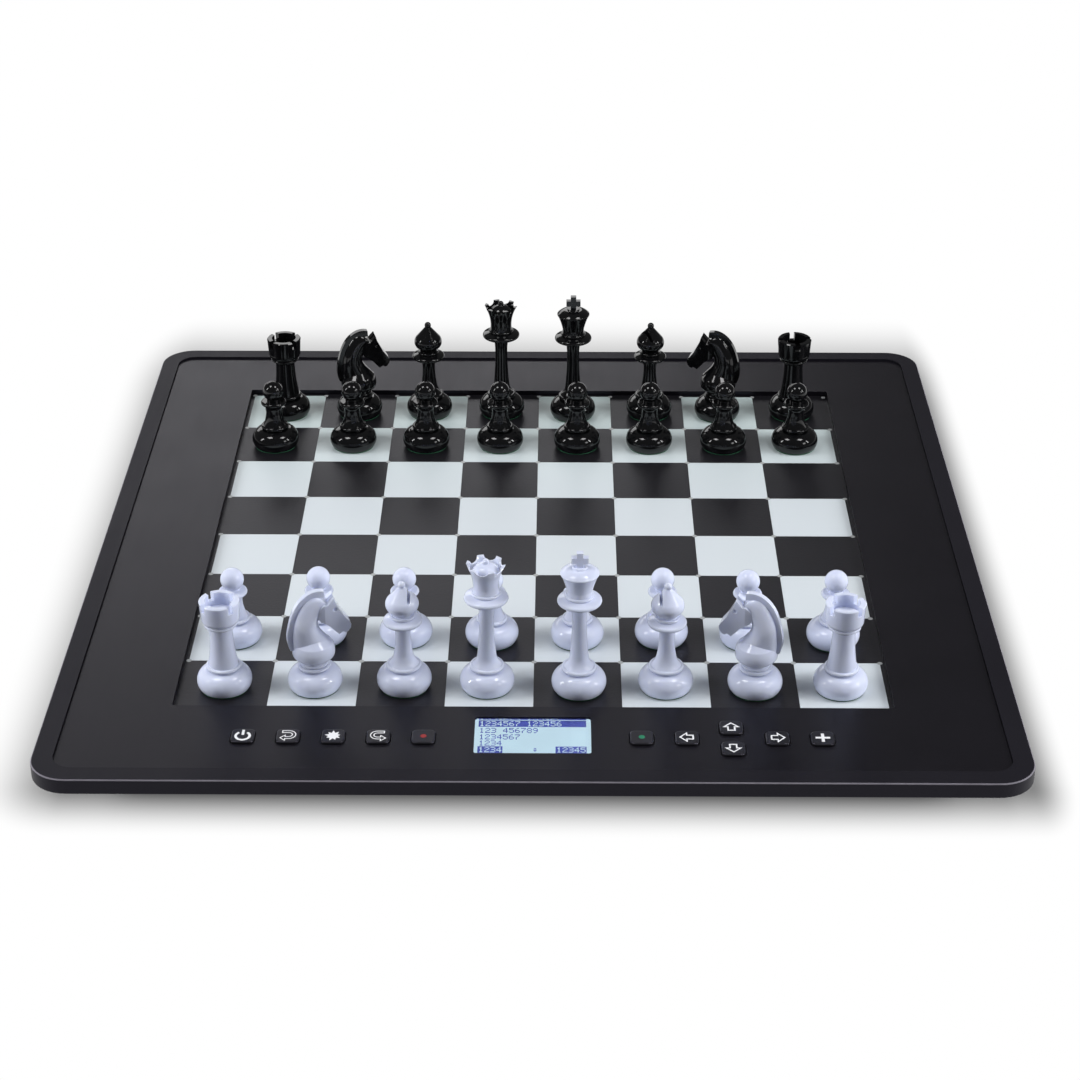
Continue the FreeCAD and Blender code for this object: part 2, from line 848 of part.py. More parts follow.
def make_king():
    base = ring_top + king_stem_length
    waist = (king_waist_radius, base + king_waist_height)
    brim = base + king_brim_height
    cap = brim + king_cap_height
    edge = king_brim_radius - king_brim_edge / 3
    edge_top = brim + king_brim_edge / 2
    cap_middle = ((edge + king_cap_radius) / 2 + king_cap_swell, (edge_top + cap) / 2 + king_cap_swell)
    outline = man_foot(king_ring_radius) + man_stem(king_ring_radius, king_stem_radius, king_stem_length)
    outline += collar_and_bead(king_collar_radius, king_bead_radius, base)
    outline += [
        flare((king_bead_radius - stem_step, bead_bottom(base) + bead_height), waist, True),
        flare((edge, brim - king_brim_edge / 2), waist, False, king_waist_lean),
        (king_brim_radius, brim, edge, edge_top),
        cap_middle + (king_cap_radius, cap),
        (king_cap_radius - king_button_height / 2, cap + king_button_height),
        (0, cap + king_button_height),
    ]
    body = turned((0, felt_thickness), outline)
    tip = cap + cross_height
    arms_top = tip - cross_arm_drop
    upright = block(cross_bar, cross_depth, cap, tip)
    arms = block(cross_width, cross_depth, arms_top - cross_bar, arms_top)
    return joined([body, upright, arms])


def make_queen():
    base = ring_top + queen_stem_length
    waist = (queen_waist_radius, base + queen_waist_height)
    crown = base + queen_crown_height
    inner = queen_crown_radius - crown_wall
    floor = crown - crown_depth
    outline = man_foot(queen_ring_radius) + man_stem(queen_ring_radius, queen_stem_radius, queen_stem_length)
    outline += collar_and_bead(queen_collar_radius, queen_bead_radius, base)
    outline += [
        flare((queen_bead_radius - stem_step, bead_bottom(base) + bead_height), waist, True),
        flare((queen_crown_radius, crown), waist, False),
        (inner, crown),
        (inner - crown_taper, floor),
        ((inner + finial_radius) / 2, floor + queen_dome_shoulder, finial_radius, floor + queen_dome_rise),
    ]
    outline += ball_top(finial_radius, crown + finial_rise, finial_neck)
    body = turned((0, felt_thickness), outline)
    scallops = []
    for index in range(crown_points):
        angle = 2 * math.pi * index / crown_points - math.pi / 2
        way = Vector(math.cos(angle), math.sin(angle), 0)
        start = way * (inner - crown_taper) + Vector(0, 0, crown + scallop_radius - scallop_depth)
        scallops.append(Part.makeCylinder(scallop_radius, queen_crown_radius, start, way))
    return body.cut(scallops)


def make_bishop():
    base = ring_top + bishop_stem_length
    mitre = base + bishop_mitre_height
    ball = mitre + bishop_tip_height
    shoulder = bishop_mitre_radius - bishop_mitre_swell / 3
    bead_top = bead_bottom(base) + bead_height
    outline = man_foot(bishop_ring_radius)
    outline += man_stem(bishop_ring_radius, bishop_stem_radius, bishop_stem_length)
    outline += collar_and_bead(bishop_collar_radius, bishop_bead_radius, base)
    outline += [
        (bishop_waist_radius, bead_top),
        flare((shoulder, mitre - bishop_mitre_swell), (bishop_waist_radius, bead_top), False),
        (bishop_mitre_radius, mitre, shoulder, mitre + bishop_mitre_swell),
    ]
    outline += ball_top(bishop_ball_radius, ball + bishop_ball_radius, bishop_ball_neck)
    body = turned((0, felt_thickness), outline)
    slot = block(bishop_slot_width, 4 * bishop_mitre_radius,
                 mitre + bishop_slot_rise, ball + bishop_ball_radius, bishop_slot_offset)
    return body.cut(slot)


def make_rook():
    lip = ring_top + rook_stem_length
    turret = lip + bead_height
    top = turret + rook_turret_height
    bowl = turret + rook_turret_bowl
    throat = (rook_stem_radius, lip - bead_height)
    well = rook_turret_radius - rook_turret_wall
    bowl_foot = rook_bead_radius - bead_round
    wall_foot = rook_turret_radius - rook_turret_taper
    bowl_bend = (wall_foot + bowl_foot) / 2 + bead_round
    outline = man_foot(rook_ring_radius)
    outline.append(flare(stem_foot(rook_ring_radius), throat, True))
    outline += bead(rook_bead_radius, lip)
    outline += [
        (bowl_foot, turret),
        (bowl_bend, turret + rook_bowl_bend, wall_foot, bowl),
        (rook_turret_radius, top - rook_turret_edge),
        (rook_turret_radius - rook_turret_edge, top),
        (well, top),
        (well, top - rook_well_depth),
        (0, top - rook_well_depth),
    ]
    body = turned((0, felt_thickness), outline)
    notches = []
    for index in range(rook_notches):
        notch = Part.makeBox(2 * rook_turret_radius, rook_notch_width, rook_notch_depth + 1,
                             Vector(well / 2, -rook_notch_width / 2, top - rook_notch_depth))
        notch.rotate(Vector(0, 0, 0), Vector(0, 0, 1), 360.0 * (index + 0.5) / rook_notches)
        notches.append(notch)
    return body.cut(notches)


def make_pawn():
    base = ring_top + pawn_stem_length
    slim = (pawn_stem_radius, ring_top + stem_slim * pawn_stem_length)
    outline = man_foot(pawn_ring_radius)
    outline.append(flare(stem_foot(pawn_ring_radius), slim, True))
    outline.append(flare((pawn_stem_radius + stem_flare, base), slim, False))
    outline += collar(pawn_collar_radius, base)
    outline.append((pawn_neck_radius, base + collar_slope + collar_thickness))
    outline += ball_top(pawn_ball_radius, base + pawn_head_height, pawn_neck_radius)
    return turned((0, felt_thickness), outline)


def on_ring(points):
    # Side view points of the knight are measured from the top of the ring
    return [(x, z + ring_top) for x, z in points]


def neck_section(back, front, half_width):
    # Oval across the neck between a back and a front point of the side view
    (back_x, back_z), (front_x, front_z) = on_ring([back, front])
    middle = Vector((back_x + front_x) / 2, 0, (back_z + front_z) / 2)
    half = Vector((front_x - back_x) / 2, 0, (front_z - back_z) / 2)
    across = Vector(0, half_width, 0)
    oval = Part.Ellipse(middle + half, middle + across, middle)
    return Part.Wire([oval.toShape()])


def knight_foot():
    waist = (knight_waist_radius, ring_top + knight_waist_height)
    bowl = ring_top + knight_bowl_height
    outline = man_foot(knight_ring_radius) + bead(knight_bead_radius, ring_top)
    outline += [
        (knight_waist_radius, ring_top + bead_height),
        waist,
        (knight_bowl_radius - knight_bowl_lip, waist[1] + knight_bowl_lip, knight_bowl_radius, bowl),
        (knight_bowl_radius - knight_bowl_round / 3, bowl + knight_bowl_wall / 1.6,
         knight_bowl_radius - knight_bowl_round, bowl + knight_bowl_wall),
        (0, ring_top + knight_bowl_top),
    ]
    return turned((0, felt_thickness), outline)


def knight_neck():
    sections = [
        ((-8.2, 6.6), (8.2, 6.6), 5.6),
        ((-8.4, 10.2), (7.4, 9.8), 5.2),
        ((-8.2, 14.7), (3.6, 14.4), 4.7),
        ((-7.4, 19.8), (2.2, 18.5), 4.2),
        ((-5.6, 24.4), (3.2, 20.8), 3.7),
        ((-1.8, 29.5), (5.2, 23.2), 3.1),
        ((3.4, 29.9), (7.6, 24.8), 2.4),
    ]
    return Part.makeLoft([neck_section(*section) for section in sections], True, False)


def knight_face():
    # Flat-sided head with bevelled jaws, from its side view and its plan
    side = upright_plate(on_ring([
        (5.8, 27.2), (8.5, 30.1), (9.2, 27.6), (9.9, 26.2), (12.0, 21.8), (14.4, 18.4), (15.1, 17.0),
        (14.9, 15.4), (13.7, 13.9), (12.6, 13.6), (11.7, 14.3), (10.0, 13.4), (8.4, 15.2), (6.4, 17.7),
        (4.5, 19.3), (2.7, 20.0), (1.8, 22.1), (2.6, 25.2), (4.2, 27.2),
    ]), cheek_half_width)
    half_plan = [
        (jaw_wedge_back, jaw_half_width),
        (jaw_wedge_front, cheek_half_width),
        (nose_reach, nose_half_width),
    ]
    plan = half_plan + [(x, -y) for x, y in half_plan[::-1]]
    wire = Part.makePolygon([Vector(x, y, ring_top) for x, y in plan + plan[:1]])
    return side.common(Part.Face(wire).extrude(Vector(0, 0, 2 * ring_top + knight_bowl_top)))


def knight_mane():
    crest = on_ring([(-9.4, 7.6), (-10.4, 12.4), (-9.4, 19.0), (-5.7, 28.0), (-0.6, 32.2), (5.0, 32.5)])
    root = on_ring([(5.2, 29.5), (1.2, 29.3), (-3.4, 26.9), (-6.2, 22.6), (-7.2, 14.5), (-7.2, 6.9)])
    curves = []
    for points in (crest, root):
        curve = Part.BSplineCurve()
        curve.interpolate([Vector(x, -mane_width / 2, z) for x, z in points])
        curves.append(curve)
    outer, inner = curves
    wire = Part.Wire([
        outer.toShape(),
        Part.LineSegment(outer.EndPoint, inner.StartPoint).toShape(),
        inner.toShape(),
        Part.LineSegment(inner.EndPoint, outer.StartPoint).toShape(),
    ])
    return Part.Face(wire).extrude(Vector(0, mane_width, 0))


def make_knight():
    head = joined([knight_foot(), knight_neck(), knight_face(), knight_mane()])
    (eye_x, eye_z), (ear_x, ear_z) = on_ring([(8.8, 25.0), (6.0, 30.0)])
    taper = (cheek_half_width - nose_half_width) / (nose_reach - jaw_wedge_front)
    eye_y = cheek_half_width - (eye_x - jaw_wedge_front) * taper
    ear_corner = Vector(ear_x, -ear_gap / 2, ear_z - ear_gap_depth)
    cuts = [Part.makeBox(nose_reach, ear_gap, 2 * ear_gap_depth, ear_corner)]
    for side in (-1, 1):
        cuts.append(Part.makeSphere(eye_radius, Vector(eye_x, side * (eye_y + eye_radius - eye_depth), eye_z)))
    return head.cut(cuts)


man_makers = {
    "king": make_king,
    "queen": make_queen,
    "bishop": make_bishop,
    "rook": make_rook,
    "pawn": make_pawn,
    "knight": make_knight,
}
back_rank = ["rook", "knight", "bishop", "queen", "king", "bishop", "knight", "rook"]
ranks = [
    ("white", 1, back_rank),
    ("white", 2, ["pawn"] * squares_per_side),
    ("black", 7, ["pawn"] * squares_per_side),
    ("black", 8, back_rank),
]


def make_chessmen():
    patterns = {kind: Part.makeCompound([make_felt(), maker()]) for kind, maker in man_makers.items()}
    men = {}
    for colour, rank, kinds in ranks:
        for column, kind in enumerate(kinds):
            square = "abcdefgh"[column] + str(rank)
            man = patterns[kind].copy()
            man.rotate(Vector(0, 0, 0), Vector(0, 0, 1), man_turns.get(square, 0.0))
            x, y = square_center(column, rank - 1)
            right, away = man_shifts.get(square, (0.0, 0.0))
            man.translate(Vector(x + right, y + away, field_top))
            men[colour + "_" + kind + "_" + square] = man
    return men


nodes = {
    "bottom_case": make_bottom_case(),
    "top_frame": make_top_frame(),
    "deck_panel": make_deck_panel(),
    "field_sheet": make_field_sheet(),
    "light_squares": make_light_squares(),
    "corner_lights": make_corner_lights(),
    "sensor_board": make_sensor_board(),
    "control_board": make_control_board(),
    "lcd_panel": make_lcd_panel(),
    "lcd_window": make_lcd_window(),
    "key_mat": make_key_mat(),
    "battery_door": make_battery_door(),
    "battery_cells": make_battery_cells(),
    "battery_contacts": make_battery_contacts(),
    "dc_socket": make_dc_socket(),
    "rubber_feet": make_rubber_feet(),
    "case_screws": make_case_screws(),
}
for key_name, key_column, key_row in key_places:
    nodes[key_name] = make_key(key_column, key_row)
nodes.update(make_chessmen())

os.makedirs("parts", exist_ok=True)
for node_name, shape in nodes.items():
    shape.exportStep("parts/" + node_name + ".step")
print(len(nodes), "nodes written")
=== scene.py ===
import math
import bpy
import bmesh
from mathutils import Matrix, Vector


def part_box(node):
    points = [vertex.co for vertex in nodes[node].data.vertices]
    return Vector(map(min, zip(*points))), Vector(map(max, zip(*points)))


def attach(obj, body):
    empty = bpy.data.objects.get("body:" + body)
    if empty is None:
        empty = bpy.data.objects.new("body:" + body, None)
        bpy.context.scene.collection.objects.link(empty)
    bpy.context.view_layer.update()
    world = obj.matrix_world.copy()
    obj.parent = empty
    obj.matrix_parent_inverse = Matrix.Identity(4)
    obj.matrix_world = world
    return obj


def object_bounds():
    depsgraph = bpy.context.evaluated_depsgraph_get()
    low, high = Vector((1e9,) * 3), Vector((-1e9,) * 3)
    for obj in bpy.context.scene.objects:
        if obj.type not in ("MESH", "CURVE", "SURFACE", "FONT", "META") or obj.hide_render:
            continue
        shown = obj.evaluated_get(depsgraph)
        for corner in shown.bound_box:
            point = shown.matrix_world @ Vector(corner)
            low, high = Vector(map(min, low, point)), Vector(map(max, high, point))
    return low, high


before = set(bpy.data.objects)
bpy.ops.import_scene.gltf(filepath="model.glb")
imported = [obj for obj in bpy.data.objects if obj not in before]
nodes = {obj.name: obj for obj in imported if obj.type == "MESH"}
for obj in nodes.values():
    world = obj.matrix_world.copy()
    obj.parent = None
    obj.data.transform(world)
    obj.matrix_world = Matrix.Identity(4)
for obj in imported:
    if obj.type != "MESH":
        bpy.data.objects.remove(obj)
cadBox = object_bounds()
scene = bpy.context.scene
scene.view_settings.view_transform = "Standard"
print("frame loaded,", len(nodes), "nodes")


# camera, worked out from the board's grid and the case edges
cameraSet = {
    "lens": 81.0,
    "sensor": 36.0,
    "place": (0.0089, -0.9352, 0.5478),
    "aim": (0.0016, -0.0002, 0.0217),
}


def turnTo(place, aim):
    return (Vector(aim) - Vector(place)).to_track_quat("-Z", "Y").to_euler()


cameraData = bpy.data.cameras.new("viewCamera")
cameraData.lens = cameraSet["lens"]
cameraData.sensor_width = cameraSet["sensor"]
camera = bpy.data.objects.new("viewCamera", cameraData)
camera.location = cameraSet["place"]
camera.rotation_euler = turnTo(cameraSet["place"], cameraSet["aim"])
scene.collection.objects.link(camera)
scene.camera = camera
print("camera set")


# a shader value that can be used in sums
class Wire:
    def __init__(self, paint, socket):
        self.paint = paint
        self.socket = socket

    def __add__(self, other):
        return self.paint.sum("ADD", self, other)

    def __radd__(self, other):
        return self.paint.sum("ADD", other, self)

    def __sub__(self, other):
        return self.paint.sum("SUBTRACT", self, other)

    def __rsub__(self, other):
        return self.paint.sum("SUBTRACT", other, self)

    def __mul__(self, other):
        return self.paint.sum("MULTIPLY", self, other)

    def __truediv__(self, other):
        return self.paint.sum("DIVIDE", self, other)

    def __lt__(self, other):
        return self.paint.sum("LESS_THAN", self, other)


# how many layers of noise lie over each other
noiseSet = {"plain": 1.0, "soft": 2.0, "fine": 3.0}


# one material and its node tree
class Paint:
    def __init__(self, owner):
        owner.use_nodes = True
        self.owner = owner
        self.tree = owner.node_tree
        self.shader = self.tree.nodes.get("Principled BSDF")

    def node(self, kind, settings, inputs, output=0):
        made = self.tree.nodes.new(kind)
        for name, value in settings.items():
            setattr(made, name, value)
        for name, value in inputs.items():
            self.feed(made.inputs[name], value)
        return Wire(self, made.outputs[output])

    def feed(self, socket, value):
        if isinstance(value, Wire):
            self.tree.links.new(value.socket, socket)
        else:
            socket.default_value = value

    def sum(self, operation, first, second):
        return self.node("ShaderNodeMath", {"operation": operation}, {0: first, 1: second})

    def finish(self, **sockets):
        for name, value in sockets.items():
            self.feed(self.shader.inputs[name.replace("_", " ")], value)
        return self.owner

    def place(self):
        return self.node("ShaderNodeTexCoord", {}, {}, "Object")

    def grain(self, size, detail="soft", stretch=None):
        # noise whose spots are about this many metres across
        where = self.place()
        if stretch:
            where = self.node("ShaderNodeMapping", {}, {"Vector": where, "Scale": stretch})
        inputs = {"Vector": where, "Scale": 1 / size, "Detail": noiseSet[detail]}
        return self.node("ShaderNodeTexNoise", {}, inputs, "Fac")

    def blend(self, first, second, share):
        # this share of the first value and the rest of the second
        return first * share + second * (1 - share)

    def around(self, value, noise, spread):
        # a value that wanders by half the spread to either side
        return value + (noise - 0.5) * spread

    def ramp(self, factor, low, high):
        # eased step from 0 to 1
        inputs = {"Value": factor, "From Min": low, "From Max": high}
        return self.node("ShaderNodeMapRange", {"interpolation_type": "SMOOTHSTEP"}, inputs)

    def mix(self, factor, first, second):
        return self.node("ShaderNodeMix", {"data_type": "RGBA"}, {0: factor, 6: first, 7: second}, 2)

    def tones(self, factor, colour, low, high):
        # a colour that goes from darker to lighter
        return self.mix(factor, tint(colour, low), tint(colour, high))

    def bump(self, height, depth):
        return self.node("ShaderNodeBump", {}, {"Distance": depth, "Height": height})

    def checks(self, size):
        return self.node("ShaderNodeTexChecker", {}, {"Vector": self.place(), "Scale": 1 / size}, "Fac")

    def axes(self):
        spread = self.node("ShaderNodeSeparateXYZ", {}, {"Vector": self.place()})
        outputs = spread.socket.node.outputs
        return [Wire(self, outputs[index]) for index in range(3)]

    def upward(self):
        # 1 where the surface faces up, 0 where it stands upright
        facing = self.node("ShaderNodeNewGeometry", {}, {}, "Normal")
        return self.node("ShaderNodeSeparateXYZ", {}, {"Vector": facing}, "Z")


def newPaint(name):
    return Paint(bpy.data.materials.new(name))


def tint(colour, share=1.0):
    return tuple(share * part for part in colour) + (1.0,)


def dress(material, *names):
    for name in names:
        for place in nodes[name].material_slots:
            place.material = material


# moulded plastic: a colour that varies a little, a fine spark-eroded grain, faint rub marks,
# and rounded edges painted paler as a painted highlight
mouldSet = {
    "sheenTint": (0.82, 0.78, 1.0),
    "cloudSize": 0.03,
    "cloudRoughness": 0.08,
    "rubSize": 0.004,
    "rubStretch": (1.0, 0.12, 1.0),
    "rubRoughness": 0.06,
    "speckShare": 0.7,
    "shadeRange": (0.25, 0.75),
    "tones": (0.82, 1.18),
    # strength of the painted edge highlight, made uneven by the rub noise
    "edgeHighlightLeast": 0.75,
    "edgeHighlightRub": 0.5,
}


def mouldedPlastic(name, colour, roughness, shine, grainSize, grainDepth, paintedEdgeHighlight=None):
    paint = newPaint(name)
    speck = paint.grain(grainSize, "fine")
    cloud = paint.grain(mouldSet["cloudSize"], "fine")
    rub = paint.grain(mouldSet["rubSize"], "soft", mouldSet["rubStretch"])
    shade = paint.ramp(paint.blend(speck, cloud, mouldSet["speckShare"]), *mouldSet["shadeRange"])
    plastic = paint.tones(shade, colour, *mouldSet["tones"])
    if paintedEdgeHighlight:
        # rounded outer edges painted paler: a painted highlight, uneven with the rub noise
        upward = paint.upward()
        rounded = paint.ramp(upward, *paintedEdgeHighlight["from"]) * (1 - paint.ramp(upward, *paintedEdgeHighlight["to"]))
        edgeHighlightShare = rounded * (mouldSet["edgeHighlightLeast"] + rub * mouldSet["edgeHighlightRub"])
        plastic = paint.mix(edgeHighlightShare, plastic, tint(paintedEdgeHighlight["colour"]))
    clouded = paint.around(roughness, cloud, mouldSet["cloudRoughness"])
    return paint.finish(
        Base_Color=plastic,
        Roughness=paint.around(clouded, rub, mouldSet["rubRoughness"]),
        Normal=paint.bump(speck, grainDepth),
        Specular_IOR_Level=shine,
        Specular_Tint=tint(mouldSet["sheenTint"]),
    )


caseSet = {
    "case": {"colour": (0.016, 0.016, 0.018), "roughness": 0.5, "shine": 0.5,
             "grainSize": 0.0007, "grainDepth": 0.00006},
    "frame": {"colour": (0.0085, 0.008, 0.011), "roughness": 0.48, "shine": 0.2,
              "grainSize": 0.0005, "grainDepth": 0.00003,
              # the frame's rounded outer edge gets this paler colour as a painted highlight
              "paintedEdgeHighlight": {"from": (0.15, 0.5), "to": (0.8, 0.98), "colour": (0.20, 0.19, 0.22)}},
    "deck": {"colour": (0.0042, 0.0038, 0.0054), "roughness": 0.38, "shine": 0.35,
             "grainSize": 0.00045, "grainDepth": 0.00003},
    "keys": {"colour": (0.011, 0.011, 0.013), "roughness": 0.3, "shine": 0.5,
             "grainSize": 0.0004, "grainDepth": 0.00002},
    "socket": {"colour": (0.012, 0.012, 0.012), "roughness": 0.4, "shine": 0.5,
               "grainSize": 0.0005, "grainDepth": 0.00002},
}

dress(mouldedPlastic("casePlastic", **caseSet["case"]), "bottom_case", "battery_door")
dress(mouldedPlastic("framePlastic", **caseSet["frame"]), "top_frame")
dress(mouldedPlastic("deckPlastic", **caseSet["deck"]), "deck_panel")
dress(mouldedPlastic("socketPlastic", **caseSet["socket"]), "dc_socket")
keyNames = [name for name in nodes if name.endswith("_button")]
dress(mouldedPlastic("keyPlastic", **caseSet["keys"]), *keyNames)
print("case dressed")


# playing field: grained film, frosted inlays, milky light guides
fieldSet = {
    "film": (0.0075, 0.0072, 0.009),
    "filmSpeck": 0.00055,
    "filmCell": 0.0011,
    "filmDepth": 0.00005,
    "filmShade": (0.3, 0.7),
    "filmTones": (0.6, 1.45),
    "filmSpeckShare": 0.6,
    "filmRoughness": 0.4,
    "filmUneven": 0.2,
    "filmShine": 0.5,
    "filmTint": (0.88, 0.86, 1.0),
    "pale": (0.60, 0.65, 0.69),
    "paleFar": (0.52, 0.62, 0.62),
    "farFade": (0.02, 0.16),  # the pale inlays turn greener towards the back
    "frostSize": 0.0006,
    "frostDepth": 0.00003,
    "frostShare": 0.6,
    "cloudSize": 0.05,
    "paleDull": 0.95,
    "paleRoughness": 0.42,
    "paleUneven": 0.14,
    "guide": (0.34, 0.355, 0.36),
    "guideHaze": 0.0008,
    "guideDepth": 0.00002,
    "guideTones": (0.85, 1.15),
    "guideRoughness": 0.25,
    "guideUneven": 0.1,
}


def filmPaint():
    paint = newPaint("fieldFilm")
    speck = paint.grain(fieldSet["filmSpeck"], "fine")
    inputs = {"Vector": paint.place(), "Scale": 1 / fieldSet["filmCell"]}
    cell = paint.node("ShaderNodeTexVoronoi", {}, inputs, "Distance")
    shade = paint.ramp(speck, *fieldSet["filmShade"])
    relief = paint.blend(speck, cell, fieldSet["filmSpeckShare"])
    return paint.finish(
        Base_Color=paint.tones(shade, fieldSet["film"], *fieldSet["filmTones"]),
        Roughness=paint.around(fieldSet["filmRoughness"], speck, fieldSet["filmUneven"]),
        Normal=paint.bump(relief, fieldSet["filmDepth"]),
        Specular_IOR_Level=fieldSet["filmShine"],
        Specular_Tint=tint(fieldSet["filmTint"]),
    )


def inlayPaint():
    paint = newPaint("frostedInlay")
    frost = paint.grain(fieldSet["frostSize"], "fine")
    cloud = paint.grain(fieldSet["cloudSize"])
    backward = paint.axes()[1]
    far = paint.ramp(backward, *fieldSet["farFade"])
    dull, pale = [
        paint.mix(far, tint(fieldSet["pale"], share), tint(fieldSet["paleFar"], share))
        for share in (fieldSet["paleDull"], 1.0)
    ]
    return paint.finish(
        Base_Color=paint.mix(paint.blend(frost, cloud, fieldSet["frostShare"]), dull, pale),
        Roughness=paint.around(fieldSet["paleRoughness"], frost, fieldSet["paleUneven"]),
        Normal=paint.bump(frost, fieldSet["frostDepth"]),
    )


def guidePaint():
    paint = newPaint("milkyGuide")
    haze = paint.grain(fieldSet["guideHaze"])
    return paint.finish(
        Base_Color=paint.tones(haze, fieldSet["guide"], *fieldSet["guideTones"]),
        Roughness=fieldSet["guideRoughness"] + haze * fieldSet["guideUneven"],
        Normal=paint.bump(haze, fieldSet["guideDepth"]),
    )


dress(filmPaint(), "field_sheet")
dress(inlayPaint(), "light_squares")
dress(guidePaint(), "corner_lights")
print("playing field dressed")


# chessmen: glossy cool white and glossy black, with green felt below
menSet = {
    "white": {"colour": (0.625, 0.67, 0.83), "roughness": 0.08, "shine": 0.5, "wax": 0.3},
    "black": {"colour": (0.003, 0.0031, 0.0036), "roughness": 0.09, "shine": 0.45, "wax": 0.0},
    "swirlSize": 0.012,
    "swirlTones": (0.96, 1.04),
    "latheSize": 0.0009,
    "latheStretch": (0.15, 0.15, 1.0),
    "latheUneven": 0.05,
    "latheRelief": 0.02,
    "waxReach": (0.003, 0.003, 0.0035),
    "felt": (0.02, 0.085, 0.045),
    "feltTones": (0.5, 1.6),
    "feltTop": 0.00059,
    "feltFibre": 0.0003,
    "feltRoughness": 0.9,
    "reliefDepth": 0.0001,
}


def menPaint(name, colour, roughness, shine, wax):
    paint = newPaint(name)
    height = paint.axes()[2]
    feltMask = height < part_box("field_sheet")[1].z + menSet["feltTop"]
    fibre = paint.grain(menSet["feltFibre"], "fine")
    swirl = paint.grain(menSet["swirlSize"])
    lathe = paint.grain(menSet["latheSize"], "plain", menSet["latheStretch"])
    plastic = paint.tones(swirl, colour, *menSet["swirlTones"])
    felt = paint.tones(fibre, menSet["felt"], *menSet["feltTones"])
    polish = paint.around(roughness, lathe, menSet["latheUneven"])
    return paint.finish(
        Base_Color=paint.mix(feltMask, plastic, felt),
        Roughness=polish * (1 - feltMask) + feltMask * menSet["feltRoughness"],
        Normal=paint.bump(fibre * feltMask + lathe * menSet["latheRelief"], menSet["reliefDepth"]),
        Specular_IOR_Level=shine,
        Subsurface_Weight=wax,
        Subsurface_Radius=menSet["waxReach"],
        Subsurface_Scale=1.0,
    )


for side in ("white", "black"):
    menNames = [name for name in nodes if name.startswith(side + "_")]
    dress(menPaint(side + "Men", **menSet[side]), *menNames)
print("chessmen dressed")


# display: lit pale ground, blue ink laid out as rows of plain numbers, clear cover
displaySet = {
    "ground": (0.54, 0.64, 0.69),
    "ink": (0.055, 0.075, 0.35),
    "groundTones": (0.95, 1.05),
    "inkTones": (0.85, 1.15),
    "glow": 0.55,
    "hazeSize": 0.008,
    "hazeShare": 0.7,
    "roughness": 0.35,
    "uneven": 0.1,
    "dotPitch": 0.0004,
    "cover": (0.99, 0.995, 1.0),
    "coverIndex": 1.49,
    "coverRoughness": 0.03,
    "coverUneven": 0.04,
    "smearSize": 0.01,
    "lift": 0.00001,
    "columns": 18,
    "signPitch": 6,  # dots from one sign to the next
    "rowDots": 8,
    "barDots": 9,
    "rows": [
        {"top": 0.07, "bar": (0, 18), "text": "1234567 123456", "start": 0},
        {"top": 0.26, "bar": None, "text": "123 456789", "start": 0},
        {"top": 0.44, "bar": None, "text": "1234567", "start": 0},
        {"top": 0.61, "bar": None, "text": "1234", "start": 0},
        {"top": 0.79, "bar": (0, 4), "text": "1234", "start": 0},
        {"top": 0.79, "bar": (13, 18), "text": "12345", "start": 13},
        {"top": 0.79, "bar": None, "text": ":", "start": 9},
    ],
    "window": (0.045, 0.0248),
    "edge": 0.04,
    "rowHeight": 0.16,
    "shift": 0.0019,
    "thickness": 0.00002,
    "weld": 1e-7,
}

# five dots across and seven down for each sign
signDots = {
    "1": "00100 01100 00100 00100 00100 00100 01110",
    "2": "01110 10001 00001 00110 01000 10000 11111",
    "3": "11110 00001 00001 01110 00001 00001 11110",
    "4": "00010 00110 01010 10010 11111 00010 00010",
    "5": "11111 10000 11110 00001 00001 10001 01110",
    "6": "00110 01000 10000 11110 10001 10001 01110",
    "7": "11111 00001 00010 00100 01000 01000 01000",
    "8": "01110 10001 10001 01110 10001 10001 01110",
    "9": "01110 10001 10001 01111 00001 00010 01100",
    ":": "00000 00100 01110 00000 01110 00100 00000",
}


def inkPiece(name, faces, thickness, body, material):
    # flat faces in metres, joined edge to edge and raised to a thin closed layer
    shell = bmesh.new()
    for points in faces:
        shell.faces.new([shell.verts.new(point) for point in points])
    bmesh.ops.remove_doubles(shell, verts=shell.verts, dist=displaySet["weld"])
    raised = bmesh.ops.extrude_face_region(shell, geom=shell.faces[:], use_keep_orig=True)
    for element in raised["geom"]:
        if isinstance(element, bmesh.types.BMVert):
            element.co.z += thickness
    bmesh.ops.recalc_face_normals(shell, faces=shell.faces)
    mesh = bpy.data.meshes.new(name)
    shell.to_mesh(mesh)
    shell.free()
    mesh.materials.append(material)
    piece = bpy.data.objects.new(name, mesh)
    scene.collection.objects.link(piece)
    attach(piece, body)
    return piece


def rectangle(x0, y0, x1, y1, z):
    return [(x0, y0, z), (x1, y0, z), (x1, y1, z), (x0, y1, z)]


def lit(paint, colour, haze):
    return paint.finish(
        Base_Color=colour,
        Emission_Color=colour,
        Emission_Strength=displaySet["glow"],
        Roughness=displaySet["roughness"] + haze * displaySet["uneven"],
    )


def displayPaint():
    paint = newPaint("displayGround")
    haze = paint.grain(displaySet["hazeSize"])
    pitch = paint.checks(displaySet["dotPitch"])
    shade = paint.blend(haze, pitch, displaySet["hazeShare"])
    return lit(paint, paint.tones(shade, displaySet["ground"], *displaySet["groundTones"]), haze)


def inkPaint():
    paint = newPaint("displayInk")
    haze = paint.grain(displaySet["hazeSize"])
    return lit(paint, paint.tones(haze, displaySet["ink"], *displaySet["inkTones"]), haze)


def coverPaint():
    paint = newPaint("clearCover")
    smear = paint.grain(displaySet["smearSize"], "fine")
    return paint.finish(
        Base_Color=tint(displaySet["cover"]),
        Roughness=displaySet["coverRoughness"] + smear * displaySet["coverUneven"],
        IOR=displaySet["coverIndex"],
        Transmission_Weight=1.0,
    )


